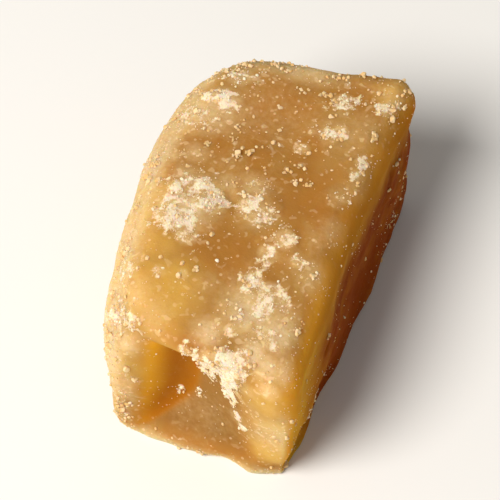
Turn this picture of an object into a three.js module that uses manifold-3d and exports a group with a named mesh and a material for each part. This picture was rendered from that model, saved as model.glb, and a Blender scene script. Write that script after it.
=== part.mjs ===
// A block of jaggery, the unrefined cane sugar that is boiled down and cast in deep tapered moulds.
// It is one solid piece that lies on a long side. Its front end (-Y) was the open mouth of the mould
// and is sunk where the sugar shrank as it set; the other faces took the shape of the mould.
// The upper long side carries a crust of dried sugar bloom, and coarse sugar grains cling all over.
// Units are millimetres, +Z is up and the origin is the middle of the underside.
import * as THREE from "three";
import { mergeVertices } from "three/addons/utils/BufferGeometryUtils.js";
import Module from "manifold-3d";

// Driving dimensions of the cast block.
const LENGTH = 51.3;
const WIDTH = 28.1;
const HEIGHT = 28;
const HALF = new THREE.Vector3(WIDTH / 2, LENGTH / 2, HEIGHT / 2);

// How the casting leaves a true box.
const BASE_INSET_RIGHT = 1.5; // the underside is narrower than the upper side
const BASE_INSET_LEFT = 2.1;
const BACK_INSET = 0.3; // the closed end is narrower than the mouth, on each side
const BELLY = 4.3; // the left side swells outwards
const BELLY_PEAK = 1.4; // over 1 moves the fullest place towards the closed end
const BELLY_BELOW = 0.55; // share of that swelling that is left at the underside
const WAIST = 1.75; // the upper right edge is drawn in by this near its middle
const WAIST_PEAK = 0.95; // over 1 moves the narrowest place towards the closed end
const WAIST_BELOW = -0.5; // share of that waist at the underside, where it swells out instead
const SLANT = 5.4; // the closed end slants: its left edge is this much nearer to the mouth
const BACK_LEAN = 3.0; // and its lower edge is this much nearer to the mouth than its upper edge
const TOP_TILT = -0.5; // the upper side is this much higher at its right edge, and lower at its left
const MOUTH_TWIST = -0.3;
const MOUTH_DROP = 0.8; // the upper side falls away towards the mouth

// Edge radii: plain edges, and what the worn edges add to them.
const EDGE_RADIUS = 2.9;
const WORN_TOP_LEFT = 3.6;
const WORN_TOP_RIGHT = 1.8;
const WORN_TOP_MOUTH = 0.8;
const WORN_BASE_LEFT = -1.0;
const WORN_MOUTH_RIGHT = -1.3; // the right rim of the mouth is the sharpest edge

// The sunk mouth is bounded by four sloping walls, given on the plane of the mouth.
// Each wall starts at a point (x, z) of the rim, faces inwards along its direction and gets this
// much deeper for each millimetre that it runs in. A soft wall leaves the rim gently.
const MOUTH_WALLS = [
  { name: "left", x: -7.6, z: 0, inward: [0.99, -0.12], slope: 1.0, softness: 1.8 },
  { name: "upper", x: 0, z: 11.7, inward: [0.12, -0.99], slope: 2.6, softness: 0.8 },
  { name: "right", x: 9.0, z: 0, inward: [-1, -0.05], slope: 0.44, softness: 0.9 },
  { name: "lower", x: 0, z: -12.0, inward: [-0.05, 1], slope: 0.45, softness: 0.9 },
];
const MOUTH_DEPTH = 7.6;
const MOUTH_FACING = { least: 0.5, full: 0.95 }; // only skin that faces forwards is sunk
const WALL_BLEND = 5; // higher makes the corners between the walls sharper

// Hollows and chips: a place on the plain box, how wide and how deep.
const DENTS = [
  { name: "dish_in_upper_side", x: 3, y: 7, z: 13.5, radius: 13, depth: 0.7 },
  { name: "pit_between_crusts", x: -2.2, y: -2.6, z: 13.5, radius: 1.9, depth: 0.9 },
  { name: "chip_at_back_left", x: -14.5, y: 25, z: 13, radius: 8, depth: 0.8 },
  { name: "chip_at_lower_left", x: -14.5, y: -25, z: -13.5, radius: 5, depth: 0.6 },
  { name: "wear_along_lower_right", x: 14.5, y: -13, z: -11, radius: 8, depth: 1.4 },
  { name: "chip_at_lower_right", x: 14.5, y: -25, z: -12, radius: 7, depth: 1.6 },
  { name: "scuff_beside_that_chip", x: 14.5, y: -20, z: -10, radius: 5, depth: 1.2 },
  { name: "nick_in_right_edge", x: 14.5, y: -4, z: 13.5, radius: 3.4, depth: 0.6 },
  { name: "nick_in_lower_rim", x: 4.5, y: -25, z: -13, radius: 4.5, depth: 0.9 },
  { name: "hollow_in_left_side", x: -14.5, y: 2, z: -3, radius: 9, depth: 0.6 },
  { name: "hollow_in_right_side", x: 14.5, y: 6, z: -2, radius: 11, depth: 0.7 },
  { name: "hollow_in_closed_end", x: 1, y: 25, z: 1, radius: 9, depth: 0.8 },
  { name: "wear_on_upper_back_edge", x: 0, y: 24.5, z: 13, radius: 8, depth: 1.2 },
  { name: "wear_on_back_right_edge", x: 14.5, y: 25, z: 7, radius: 7, depth: 1.5 },
  { name: "wear_lower_on_that_edge", x: 14.5, y: 25, z: -2, radius: 7, depth: 0.9 },
  { name: "bubble_in_right_side", x: 14.5, y: -12, z: 2, radius: 1.7, depth: 0.9 },
  { name: "bubble_in_left_side", x: -14.5, y: 13, z: 3, radius: 1.6, depth: 0.8 },
  { name: "bubble_in_closed_end", x: -6, y: 25, z: -5, radius: 1.6, depth: 0.8 },
];

// Patches of crusted bloom that stand proud of the surface, with ragged outlines.
const CRUSTS = [
  { name: "large_left", x: -7.3, y: -6.6, z: 13.5, radius: 4.4, rise: 0.26 },
  { name: "large_back", x: -4.4, y: -2.9, z: 13.5, radius: 3.0, rise: 0.22 },
  { name: "large_right", x: 1.4, y: -2.2, z: 13.5, radius: 3.6, rise: 0.3 },
  { name: "middle_right", x: 5.8, y: -6.6, z: 13.5, radius: 3.6, rise: 0.22 },
  { name: "back_left", x: -8.2, y: 13.8, z: 13.5, radius: 2.8, rise: 0.26 },
  { name: "back_right", x: 6.6, y: 12.8, z: 13.5, radius: 2.3, rise: 0.22 },
  { name: "back_corner", x: 10.8, y: 19.8, z: 13.5, radius: 2.6, rise: 0.19 },
  { name: "on_right_edge", x: 11.3, y: 7.6, z: 13.5, radius: 3.2, rise: 0.22 },
  { name: "front_right", x: 5.4, y: -13.0, z: 13.5, radius: 3.6, rise: 0.22 },
  { name: "above_right_rim", x: 8.3, y: -18.0, z: 13.5, radius: 2.6, rise: 0.22 },
  { name: "above_mouth", x: 3.6, y: -18.2, z: 13.5, radius: 3.0, rise: 0.19 },
  { name: "front_middle", x: -4.4, y: -14.8, z: 13.5, radius: 2.4, rise: 0.15 },
  { name: "front_left", x: -11.2, y: -16.6, z: 12.9, radius: 2.8, rise: 0.22 },
  { name: "on_rim", x: 3.2, y: -24.8, z: 11.6, radius: 3.7, rise: 0.52 },
  { name: "on_left_rim", x: -11, y: -25, z: -3, radius: 3.4, rise: 0.22 },
  { name: "left_side", x: -14.3, y: -12, z: -4, radius: 5.2, rise: 0.3 },
  { name: "left_side_back", x: -14.3, y: 16, z: -5, radius: 4.2, rise: 0.26 },
  { name: "right_side", x: 14.3, y: 15, z: 3, radius: 4.6, rise: 0.26 },
  { name: "right_side_low", x: 14.3, y: -16, z: -8, radius: 3.8, rise: 0.26 },
  { name: "closed_end_high", x: 6, y: 25, z: 7, radius: 4.4, rise: 0.3 },
  { name: "closed_end_low", x: -7, y: 25, z: -7, radius: 3.6, rise: 0.26 },
];
const CRUST_CORE = 0.35; // share of a crust's radius at which it starts to thin out
const RAGGED = 0.5;
const RAGGED_SIZE = 1.7;

// Unevenness of the whole surface: broad waves, then a coarse and a fine roughness.
const WAVES = [
  { size: 31, rise: 0.28, phase: 0.6 },
  { size: 17, rise: 0.16, phase: 2.1 },
];
const ROUGHNESS = [
  { size: 6.0, rise: 0.22 },
  { size: 2.6, rise: 0.11 },
];

// The underside set flat on the bench: this much of the uneven skin below it is gone.
const FLAT_LEVEL = 0.7;

// Sides of the facets, and the sugar grains that are large enough to see from a step away.
const FACETS = { x: 24, y: 42, z: 22 };
const EDGE_CROWDING = 0.6; // 0 spaces the facets evenly, 1 crowds them most towards the edges
const GRAINS = 80;
const GRAIN_RADIUS = { least: 0.32, most: 0.7 };
const GRAINS_ON_CRUSTS = 0.6;
const GRAIN_STRETCH = { x: [0.75, 1.25], y: [0.7, 1.0], z: [0.6, 0.9] };
const GRAIN_SINK = 0.3; // share of its radius that a grain's middle lies under the surface
const GRAIN_SEED = 41;

function smooth(low, high, value) {
  return THREE.MathUtils.smoothstep(value, low, high);
}

// A number from -1 to 1 that belongs to one corner of a grid and looks random.
function cornerValue(i, j, k) {
  const scrambled = Math.sin(i * 127.1 + j * 311.7 + k * 74.7) * 43758.5453;
  return 2 * (scrambled - Math.floor(scrambled)) - 1;
}

// Smooth noise between -1 and 1 that changes over the given size.
function noiseAt(point, size) {
  const corner = point.clone().divideScalar(size).floor();
  const within = point.clone().divideScalar(size).sub(corner);
  const [tx, ty, tz] = within.toArray().map((t) => t * t * t * (t * (t * 6 - 15) + 10));
  const { lerp } = THREE.MathUtils;
  const edge = (j, k) => {
    const first = cornerValue(corner.x, corner.y + j, corner.z + k);
    return lerp(first, cornerValue(corner.x + 1, corner.y + j, corner.z + k), tx);
  };
  return lerp(lerp(edge(0, 0), edge(1, 0), ty), lerp(edge(0, 1), edge(1, 1), ty), tz);
}

// Random numbers from 0 to 1 that are the same on every run (mulberry32).
function seededRandom(seed) {
  let state = seed;
  return () => {
    state = (state + 0x6d2b79f5) | 0;
    let mixed = Math.imul(state ^ (state >>> 15), 1 | state);
    mixed = (mixed + Math.imul(mixed ^ (mixed >>> 7), 61 | mixed)) ^ mixed;
    return ((mixed ^ (mixed >>> 14)) >>> 0) / 4294967296;
  };
}

// The radius of the edge nearest to a place on the cube from -1 to 1.
function edgeRadius(cube) {
  const left = smooth(0, 1, -cube.x);
  const right = smooth(0, 1, cube.x);
  const upper = smooth(0, 1, cube.z);
  const lower = smooth(0, 1, -cube.z);
  const mouth = smooth(0, 1, -cube.y) ** 2;
  return (
    EDGE_RADIUS +
    WORN_TOP_LEFT * left * upper +
    WORN_TOP_RIGHT * right * upper +
    WORN_TOP_MOUTH * mouth * upper +
    WORN_BASE_LEFT * left * lower +
    WORN_MOUTH_RIGHT * mouth * right
  );
}

// Places a point of the cube on the box with rounded edges, with the direction that it faces.
function roundedBox(cube) {
  const point = cube.clone().multiply(HALF);
  const radius = edgeRadius(cube);
  const reach = HALF.clone().subScalar(radius);
  const core = point.clone().clamp(reach.clone().negate(), reach);
  const normal = point.sub(core).normalize();
  return { point: core.addScaledVector(normal, radius), normal };
}

// How far the mouth is sunk at a place on its plane.
function mouthDepth(x, z) {
  let sum = MOUTH_DEPTH ** -WALL_BLEND;
  for (const wall of MOUTH_WALLS) {
    const run = (x - wall.x) * wall.inward[0] + (z - wall.z) * wall.inward[1];
    const soft = wall.softness * Math.log1p(Math.exp(run / wall.softness));
    sum += (wall.slope * soft) ** -WALL_BLEND;
  }
  return sum ** (-1 / WALL_BLEND);
}

// The broad swell of the surface, made of crossing waves.
function broadWaves(point) {
  let rise = 0;
  for (const { size, rise: height, phase } of WAVES) {
    const turn = (2 * Math.PI) / size;
    rise += height * Math.sin(point.x * turn + phase) * Math.cos(point.y * turn - phase);
    rise += (height / 2) * Math.sin((point.z + point.y / 2) * turn + phase * 2);
  }
  return rise;
}

// How far dents sink and crusts lift a place on the plain box.
function marks(point) {
  let rise = 0;
  for (const dent of DENTS) {
    const away = point.distanceTo(dent) / dent.radius;
    rise -= dent.depth * (1 - smooth(0, 1, away));
  }
  for (const crust of CRUSTS) {
    const away = point.distanceTo(crust) / crust.radius + RAGGED * noiseAt(point, RAGGED_SIZE);
    rise += crust.rise * (1 - smooth(CRUST_CORE, 1, away));
  }
  return rise;
}

// Roughness at every size that the facets can carry.
function roughness(point) {
  let rise = 0;
  for (const { size, rise: height } of ROUGHNESS) {
    rise += height * noiseAt(point, size);
  }
  return rise;
}

// Turns the rounded box into the real casting: narrower below and behind, swollen on the left,
// waisted on the right, leaning at the closed end and twisted at the mouth.
function castForm(point) {
  const u = point.x / HALF.x;
  const v = point.y / HALF.y;
  const w = point.z / HALF.z;
  const low = (1 - w) / 2;
  const back = (1 + v) / 2;
  const leftward = Math.max(0, (1 - u) / 2);
  const rightward = Math.max(0, (1 + u) / 2);
  const mouthward = smooth(0, 1, -v);
  const along = THREE.MathUtils.clamp(back, 0, 1);
  const swell = Math.sin(Math.PI * along ** BELLY_PEAK);
  const hollow = Math.sin(Math.PI * along ** WAIST_PEAK);
  const waist = WAIST * hollow * (1 - low * (1 - WAIST_BELOW));
  return new THREE.Vector3(
    point.x +
      (BASE_INSET_LEFT * low + BACK_INSET * back) * leftward -
      (BASE_INSET_RIGHT * low + BACK_INSET * back + waist) * rightward -
      BELLY * swell * leftward ** 2 * (1 - low * (1 - BELLY_BELOW)),
    point.y +
      MOUTH_TWIST * u * w * mouthward -
      (SLANT * leftward + BACK_LEAN * low) * smooth(0, 1, v),
    point.z + (TOP_TILT * u - MOUTH_DROP * mouthward * mouthward) * (1 - low),
  );
}

// The finished surface at a point of the cube, with the direction that it faces there.
function surface(cube) {
  const { point, normal } = roundedBox(cube);
  const faces = smooth(MOUTH_FACING.least, MOUTH_FACING.full, -normal.y);
  const sunk = faces > 0 ? mouthDepth(point.x, point.z) * faces : 0;
  const rise = broadWaves(point) + marks(point) + roughness(point);
  const formed = castForm(point.clone().addScaledVector(normal, rise));
  formed.y += sunk;
  formed.z += HALF.z - FLAT_LEVEL;
  return { point: formed, normal };
}

// Moves evenly spaced values from -1 to 1 towards the ends, where the edges need facets.
function crowd(value) {
  const bend = (EDGE_CROWDING * Math.PI) / 2;
  return Math.sin(value * bend) / Math.sin(bend);
}

// The block's own skin: a cube of facets with each vertex moved to the finished surface.
function blockGeometry() {
  const cube = new THREE.BoxGeometry(2, 2, 2, FACETS.x, FACETS.y, FACETS.z);
  const places = cube.getAttribute("position");
  const place = new THREE.Vector3();
  for (let i = 0; i < places.count; i++) {
    place.fromBufferAttribute(places, i);
    place.set(crowd(place.x), crowd(place.y), crowd(place.z));
    const { point } = surface(place);
    places.setXYZ(i, point.x, point.y, point.z);
  }
  return cube;
}

// A place on the cube, spread evenly over the real areas of its sides, never underneath.
function randomPlace(random) {
  const areas = [HALF.x * HALF.y, HALF.x * HALF.z, HALF.x * HALF.z, HALF.y * HALF.z, HALF.y * HALF.z];
  let pick = random() * areas.reduce((sum, area) => sum + area);
  const side = areas.findIndex((area) => (pick -= area) < 0);
  const a = random() * 2 - 1;
  const b = random() * 2 - 1;
  return [
    new THREE.Vector3(a, b, 1),
    new THREE.Vector3(a, -1, b),
    new THREE.Vector3(a, 1, b),
    new THREE.Vector3(-1, a, b),
    new THREE.Vector3(1, a, b),
  ][side];
}

// A place on the cube that lies on or beside one of the crusts.
function placeOnCrust(random) {
  const crust = CRUSTS[Math.floor(random() * CRUSTS.length)];
  const scatter = () => (random() + random() - 1) * crust.radius;
  const place = new THREE.Vector3(crust.x, crust.y, crust.z);
  place.add(new THREE.Vector3(scatter(), scatter(), scatter())).divide(HALF);
  const furthest = ["x", "y", "z"].reduce((a, b) => {
    return Math.abs(crust[b]) / HALF[b] > Math.abs(crust[a]) / HALF[a] ? b : a;
  });
  place[furthest] = Math.sign(crust[furthest]);
  return place.clampScalar(-1, 1);
}

// A sugar grain: a small crystal of twenty facets, turned and squashed, half sunk in the surface.
function grainGeometry(random) {
  const place = random() < GRAINS_ON_CRUSTS ? placeOnCrust(random) : randomPlace(random);
  const { point, normal } = surface(place);
  const radius = THREE.MathUtils.lerp(GRAIN_RADIUS.least, GRAIN_RADIUS.most, random() ** 2);
  const turn = new THREE.Euler(random() * Math.PI, random() * Math.PI, random() * Math.PI);
  const stretch = ([least, most]) => THREE.MathUtils.lerp(least, most, random());
  const middle = point.addScaledVector(normal, -GRAIN_SINK * radius);
  const grain = new THREE.IcosahedronGeometry(radius, 0);
  grain.scale(stretch(GRAIN_STRETCH.x), stretch(GRAIN_STRETCH.y), stretch(GRAIN_STRETCH.z));
  grain.applyQuaternion(new THREE.Quaternion().setFromEuler(turn));
  grain.translate(middle.x, middle.y, middle.z);
  return grain;
}

// A closed three.js geometry as a manifold-3d solid.
function solidOf(wasm, geometry) {
  const bare = geometry.clone();
  bare.deleteAttribute("normal");
  bare.deleteAttribute("uv");
  const merged = mergeVertices(bare, 1e-4);
  return new wasm.Manifold(
    new wasm.Mesh({
      numProp: 3,
      vertProperties: new Float32Array(merged.getAttribute("position").array),
      triVerts: new Uint32Array(merged.index.array),
    }),
  );
}

// A manifold-3d solid as a three.js geometry, centred over the origin and standing on it.
function geometryOf(solid) {
  const mesh = solid.getMesh();
  const geometry = new THREE.BufferGeometry();
  geometry.setAttribute("position", new THREE.BufferAttribute(mesh.vertProperties, 3));
  geometry.setIndex(new THREE.BufferAttribute(mesh.triVerts, 1));
  geometry.computeBoundingBox();
  const { min, max } = geometry.boundingBox;
  geometry.translate(-(min.x + max.x) / 2, -(min.y + max.y) / 2, -min.z);
  return geometry;
}

const wasm = await Module();
wasm.setup();

const random = seededRandom(GRAIN_SEED);
let block = solidOf(wasm, blockGeometry());
for (let i = 0; i < GRAINS; i++) {
  block = block.add(solidOf(wasm, grainGeometry(random)));
}
const bench = new THREE.BoxGeometry(2 * LENGTH, 2 * LENGTH, LENGTH).translate(0, 0, -LENGTH / 2);
block = block.subtract(solidOf(wasm, bench));

const jaggery = new THREE.Mesh(
  geometryOf(block),
  new THREE.MeshStandardMaterial({ color: 0xc68a3e, roughness: 0.62, metalness: 0 }),
);
jaggery.name = "jaggery_block";

const part = new THREE.Group();
part.add(jaggery);

export default part;
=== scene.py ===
"""A moulded block of jaggery with crusts of sugar bloom, clinging grains and a plain stage."""

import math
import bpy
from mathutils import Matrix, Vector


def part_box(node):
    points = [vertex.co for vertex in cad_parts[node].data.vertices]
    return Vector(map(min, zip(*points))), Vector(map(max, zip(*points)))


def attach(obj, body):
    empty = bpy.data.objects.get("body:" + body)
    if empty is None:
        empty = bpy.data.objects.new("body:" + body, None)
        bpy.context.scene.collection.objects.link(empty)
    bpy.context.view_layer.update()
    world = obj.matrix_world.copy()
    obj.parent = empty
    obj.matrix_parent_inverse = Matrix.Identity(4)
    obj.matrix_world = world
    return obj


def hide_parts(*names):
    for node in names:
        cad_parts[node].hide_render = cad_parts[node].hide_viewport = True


bl_info = {
    "name": "Jaggery Block",
    "version": (1, 0, 0),
    "blender": (4, 5, 0),
    "location": "3D View > Sidebar > Jaggery",
    "description": "Builds a moulded block of jaggery with sugar bloom, grains and a plain stage",
    "category": "Add Mesh",
}

import bmesh
import bpy
import numpy as np
from mathutils import Color, Euler, Vector

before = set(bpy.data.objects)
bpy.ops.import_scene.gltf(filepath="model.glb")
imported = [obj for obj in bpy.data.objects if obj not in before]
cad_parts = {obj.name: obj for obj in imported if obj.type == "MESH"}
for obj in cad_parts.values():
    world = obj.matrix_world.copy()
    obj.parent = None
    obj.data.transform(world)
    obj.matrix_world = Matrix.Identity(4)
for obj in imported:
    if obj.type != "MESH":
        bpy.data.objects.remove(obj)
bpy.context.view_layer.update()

MM = 0.001
NODE = "jaggery_block"
BODY = "root"
AXES = (0, 1, 2)
INWARDS = np.array((0.0, 1.0, 0.0))


# -------- the shape of the casting

# The walls of the sunk mouth: a point (x, z) of the rim, the way inwards, slope and softness.
MOUTH_WALLS = (
    ((-7.6, 0.0), (0.99, -0.12), 1.0, 1.8),
    ((0.0, 11.7), (0.12, -0.99), 2.6, 0.8),
    ((9.0, 0.0), (-1.0, -0.05), 0.44, 0.9),
    ((0.0, -12.0), (-0.05, 1.0), 0.45, 0.9),
)
WALL_BLEND = 5

# How squarely a place faces the mouth's end where the sinking starts and where it is full.
MOUTH_FACING = (0.5, 0.95)

# Hollows, chips and bubbles: place on the plain box, radius and depth.
DENTS = (
    (3, 7, 13.5, 13, 0.7),
    (-2.2, -2.6, 13.5, 1.9, 0.9),
    (-14.5, 25, 13, 8, 0.8),
    (-14.5, -25, -13.5, 5, 0.6),
    (14.5, -13, -11, 8, 1.4),
    (14.5, -25, -12, 7, 1.6),
    (14.5, -20, -10, 5, 1.2),
    (14.5, -4, 13.5, 3.4, 0.6),
    (4.5, -25, -13, 4.5, 0.9),
    (-14.5, 2, -3, 9, 0.6),
    (14.5, 6, -2, 11, 0.7),
    (1, 25, 1, 9, 0.8),
    (0, 24.5, 13, 8, 1.2),
    (14.5, 25, 7, 7, 1.5),
    (14.5, 25, -2, 7, 0.9),
    (14.5, -12, 2, 1.7, 0.9),
    (-14.5, 13, 3, 1.6, 0.8),
    (-6, 25, -5, 1.6, 0.8),
)

# Patches of crusted bloom: place on the plain box, radius and rise.
CRUSTS = (
    (-7.3, -6.6, 13.5, 4.4, 0.26),
    (-4.4, -2.9, 13.5, 3, 0.22),
    (1.4, -2.2, 13.5, 3.6, 0.3),
    (5.8, -6.6, 13.5, 3.6, 0.22),
    (-8.2, 13.8, 13.5, 2.8, 0.26),
    (6.6, 12.8, 13.5, 2.3, 0.22),
    (10.8, 19.8, 13.5, 2.6, 0.19),
    (11.3, 7.6, 13.5, 3.2, 0.22),
    (5.4, -13, 13.5, 3.6, 0.22),
    (8.3, -18, 13.5, 2.6, 0.22),
    (3.6, -18.2, 13.5, 3, 0.19),
    (-4.4, -14.8, 13.5, 2.4, 0.15),
    (-11.2, -16.6, 12.9, 2.8, 0.22),
    (3.2, -24.8, 11.6, 3.7, 0.52),
    (-11, -25, -3, 3.4, 0.22),
    (-14.3, -12, -4, 5.2, 0.3),
    (-14.3, 16, -5, 4.2, 0.26),
    (14.3, 15, 3, 4.6, 0.26),
    (14.3, -16, -8, 3.8, 0.26),
    (6, 25, 7, 4.4, 0.3),
    (-7, 25, -7, 3.6, 0.26),
)
CRUST_CORE = 0.35
RAGGED = 0.5
RAGGED_SIZE = 1.7

# In the mouth, bloom hangs down by this share of the way from the rim.
HANG = 0.55
RIM_LEVEL = 12

# The ragged outline of the bloom, as sizes and shares of noise.
BLOOM_OUTLINE = ((2.3, 0.25), (1.1, 0.32), (0.6, 0.28))

# Where the surface has bloomed white, thickest in the middle: place, radius and thickness.
WHITE = (
    (-7.4, -7.4, 14, 4.1, 0.92),
    (-5.6, -9.8, 14, 2.6, 0.65),
    (-4, -3.8, 14, 3.1, 0.8),
    (-5.7, -2, 14, 3, 0.75),
    (-7.8, -3.6, 14, 2.6, 0.7),
    (0.6, -3, 14, 2.8, 0.78),
    (0.4, 0.2, 14, 2.2, 0.4),
    (1.6, -4.3, 14, 1.5, 0.6),
    (2.7, -3, 14, 1.8, 0.7),
    (6.2, -5.8, 14, 2.6, 0.58),
    (4.8, -8.4, 14, 2.4, 0.6),
    (8.6, -8, 14, 1.8, 0.55),
    (-8.3, 13.6, 14, 2.5, 1.8),
    (-7.3, 13.1, 14, 2, 1.6),
    (-9.2, 9.6, 13.8, 3.2, 0.45),
    (-11.4, 9.4, 12.9, 2.6, 0.62),
    (6.9, 13, 14, 1.9, 0.95),
    (5.2, 12.6, 14, 1.5, 0.85),
    (3.4, 12.2, 14, 1, 0.6),
    (5, 18.3, 14, 2.4, 0.65),
    (3.3, 9, 14, 1.6, 0.7),
    (11, 19, 13.7, 2.6, 0.55),
    (11.2, 9.4, 13.6, 1.7, 0.8),
    (11.3, 7.2, 13.6, 1.6, 0.7),
    (11, 3, 13.8, 1.6, 0.45),
    (4.2, -12.6, 14, 2.4, 0.8),
    (6.8, -13.4, 14, 2.8, 0.75),
    (8.8, -14.6, 14, 2.2, 0.6),
    (6.4, -16.2, 14, 2.6, 0.7),
    (8.2, -19.2, 14, 2.3, 0.75),
    (3.8, -17.7, 14, 1.6, 0.8),
    (3.5, -20.2, 14, 1.6, 0.85),
    (-1.7, -24.5, 12.7, 1.3, 0.85),
    (0.2, -24.4, 12.5, 1.4, 0.8),
    (1.6, -24.3, 13, 1.6, 1),
    (3.4, -24, 13.3, 2, 1.1),
    (5.2, -23.7, 13.4, 1.8, 1),
    (6.6, -23.6, 13.5, 1.1, 0.5),
    (-0.2, -21.9, 9, 1.4, 0.95),
    (1.3, -22.5, 9.9, 1.8, 1.15),
    (3.2, -23.3, 11.5, 2, 1.2),
    (5, -24.1, 12.3, 1.9, 1.15),
    (6.4, -24, 12.9, 1, 0.5),
    (1.2, -22.4, 8.7, 1, 0.8),
    (3.3, -23.4, 9.8, 1.7, 1.15),
    (5, -24.1, 10.8, 1.4, 1),
    (4.2, -23.6, 8.9, 1.4, 1.15),
    (4.9, -23.9, 8, 0.9, 1),
    (5.7, -24.2, 6.2, 0.9, 1.3),
    (6.5, -24.5, 5.3, 0.7, 1.2),
    (-0.9, -21.8, 5.8, 0.8, 0.95),
    (-3.9, -22.1, 5.2, 0.6, 0.7),
    (-4.4, -15.2, 14, 1.2, 0.5),
    (-7.4, -16, 14, 1.7, 0.42),
    (-11.4, -16.3, 12.6, 1.7, 0.9),
    (-12.6, -21.9, 10, 1.8, 0.8),
    (-9.7, -22.6, 12.3, 3.2, 0.45),
    (-7.8, 18.6, 14, 3.2, 0.5),
    (-14, -12, -4, 5.4, 0.8),
    (-14, 16, -5, 4.4, 0.75),
    (14, 15, -6, 4.6, 0.2),
    (14, -16, -8, 3.8, 0.4),
    (6, 25.6, 7, 4.6, 0.8),
    (-7, 25.6, -7, 3.8, 0.75),
)

# Where the bloom has come off.
CLEAR = (
    (-2.4, -1.6, 14, 1, 0.7),
    (-4.5, -6.3, 14, 0.9, 0.9),
)

# Where a thin haze of powder lies.
HAZY = (
    (-3, -0.5, 14, 4, 0.75),
    (-8, 13.4, 14, 4, 0.85),
    (-9.5, 10, 14, 9, 0.8),
    (-8, 2.5, 14, 4, 0.8),
    (7.2, -22, 14, 4, 1.1),
    (-2, 14, 14, 16, 0.35),
    (-10.3, 1, 13.6, 3.5, 0.9),
    (9, 13, 14, 9, 0.45),
    (-4, 2.5, 14, 6, 0.4),
    (0, 0.5, 14, 5, 0.7),
    (-6.5, -6, 14, 6.5, 1),
    (1.6, -3, 14, 5, 0.6),
    (5, -17, 14, 8, 1),
    (0.9, -21.4, 14, 4.5, 1),
    (-9.5, -20, 13, 5.5, 0.7),
    (-7, -21.5, 14, 5, 0.6),
    (10.6, -4, 14, 4.5, 0.5),
    (9.3, -18.5, 14, 7, 1),
    (12, -9, 13.4, 5, 0.8),
    (12.5, -2, 13.4, 5, 0.8),
    (12.5, -25.6, 1, 11, 0.75),
    (11.5, -22.5, 13, 4, 0.9),
    (-14, -25.6, -1, 13, 0.95),
    (-10, -24, 9, 5, 1.1),
    (0, -22, -6, 12, 0.35),
    (5, -23, 0, 8, 0.25),
    (-8, -1.5, 14, 4.5, 0.8),
    (10.8, 21, 13.8, 4, 0.6),
    (11.3, 14, 13.5, 4, 0.3),
    (10.8, 3, 13.8, 4, 0.5),
    (9.1, -23, 13.8, 4, 1),
    (10, -25, 12, 3, 0.9),
    (14, -10, -9, 4, 0.5),
    (14, -17, -6, 3.5, 0.5),
    (2, 25.6, 2, 9, 0.5),
)

# Painted glow: where the sugar lets the most light in and looks golden, partly its own tone, the
# light is painted into its colour.
GOLDEN = (
    (-6.5, -18, 14, 7.5, 1),
    (-8.5, -12.5, 13.9, 4.5, 0.7),
    (-11, -8, 13, 6.5, 0.8),
    (-12, -16, 11, 6, 0.8),
    (11.5, -23.5, 9, 6.5, 0.9),
    (12, -24.5, 2.5, 5.5, 0.9),
    (12, -24.5, -5, 6, 0.9),
    (11, 21.5, 13.6, 4.5, 0.6),
    (-12, -24.5, 4, 7, 0.8),
)

# Where the sugar is denser and browner.
BROWN = (
    (-12.8, -24.7, 3, 4.5, 0.8),
    (-4, 4.5, 14, 6.5, 1),
    (5.6, 2.6, 14, 6, 0.9),
    (-1.5, -9.8, 14, 5.4, 1.2),
    (-2.1, -3, 14, 2, 0.7),
    (-8, 1.5, 13.6, 4.5, 0.8),
    (-1.5, 16, 14, 6.5, 0.8),
    (3, 10.5, 14, 5.5, 0.6),
    (-3, -12.5, 14, 3.5, 0.6),
)

WAVES = ((31, 0.28, 0.6), (17, 0.16, 2.1))
ROUGHNESS = ((6.0, 0.22), (2.6, 0.11))

# The grid of the skin: how it crowds towards the edges, and how many lines the solid's has.
CROWDING = 0.6
SKIN_LINES = 42

# The fused lumps: their share on crusts, how far they are sunk and how squashed.
LUMP_SEED = 41
LUMPS_ON_CRUSTS = 0.6
LUMP_SINK = 0.3
LUMP_STRETCH = ((0.75, 1.25), (0.7, 1.0), (0.6, 0.9))

# The loose sugar: its least radius, what chance adds to it, and where the lowest grain is.
STRAY_SEED = 7
BLOOM_SEED = 19
CRUMB_GRAINS = 7
CRUMB_SPREAD = 0.28
STRAY_RADIUS, CRUMB_RADIUS, STRAY_GROWTH = 0.12, 0.15, 1.6
CLUMP_RADIUS, CLUMP_GROWTH = 0.09, 0.17
POWDER_RADIUS, POWDER_GROWTH, POWDER_LIFT = 0.045, 0.05, 0.3
GRAIN_STRETCH = (0.7, 1.3)
LOWEST_GRAIN = 0.15
UNDERSIDE = 4

# How many millimetres light gets into the sugar, how much of it does, and its tint.
BLOCK_GLOW = (4.5, 0.85)
GRAIN_GLOW = (0.5, 0.25)
GLOW_TINT = (1.0, 0.5, 0.15)

# What the block's mesh notes at each vertex for its material, painted glow and painted shade among
# them.
NOTES = ("white", "haze", "golden", "brown", "painted_wall_glow", "painted_side_shade", "painted_rim_shade", "painted_flank_glow", "dull")

# The stage: the sensor in millimetres, half the floor in metres and the light's colours.
SENSOR = 36
FLOOR_HALF = 1.5
LAMP_COLOUR = (1.0, 0.97, 0.92)
ROOM_COLOUR = (1.0, 0.97, 0.93, 1)


def smooth(low, high, value):
    """A soft step from 0 at low to 1 at high."""
    t = np.clip((value - low) / (high - low), 0, 1)
    return t * t * (3 - 2 * t)


def corner_value(corner):
    """A number from -1 to 1 that belongs to one corner of a grid and looks random."""
    scrambled = np.sin(corner @ np.array((127.1, 311.7, 74.7))) * 43758.5453
    return 2 * (scrambled - np.floor(scrambled)) - 1


def noise_at(points, size):
    """Smooth noise between -1 and 1 that changes over the given size."""
    corner = np.floor(points / size)
    t = points / size - corner
    t = t * t * t * (t * (t * 6 - 15) + 10)
    total = 0
    for step in np.ndindex(2, 2, 2):
        share = np.prod(np.where(np.array(step) == 1, t, 1 - t), axis=1)
        total = total + share * corner_value(corner + np.array(step))
    return total


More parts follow.
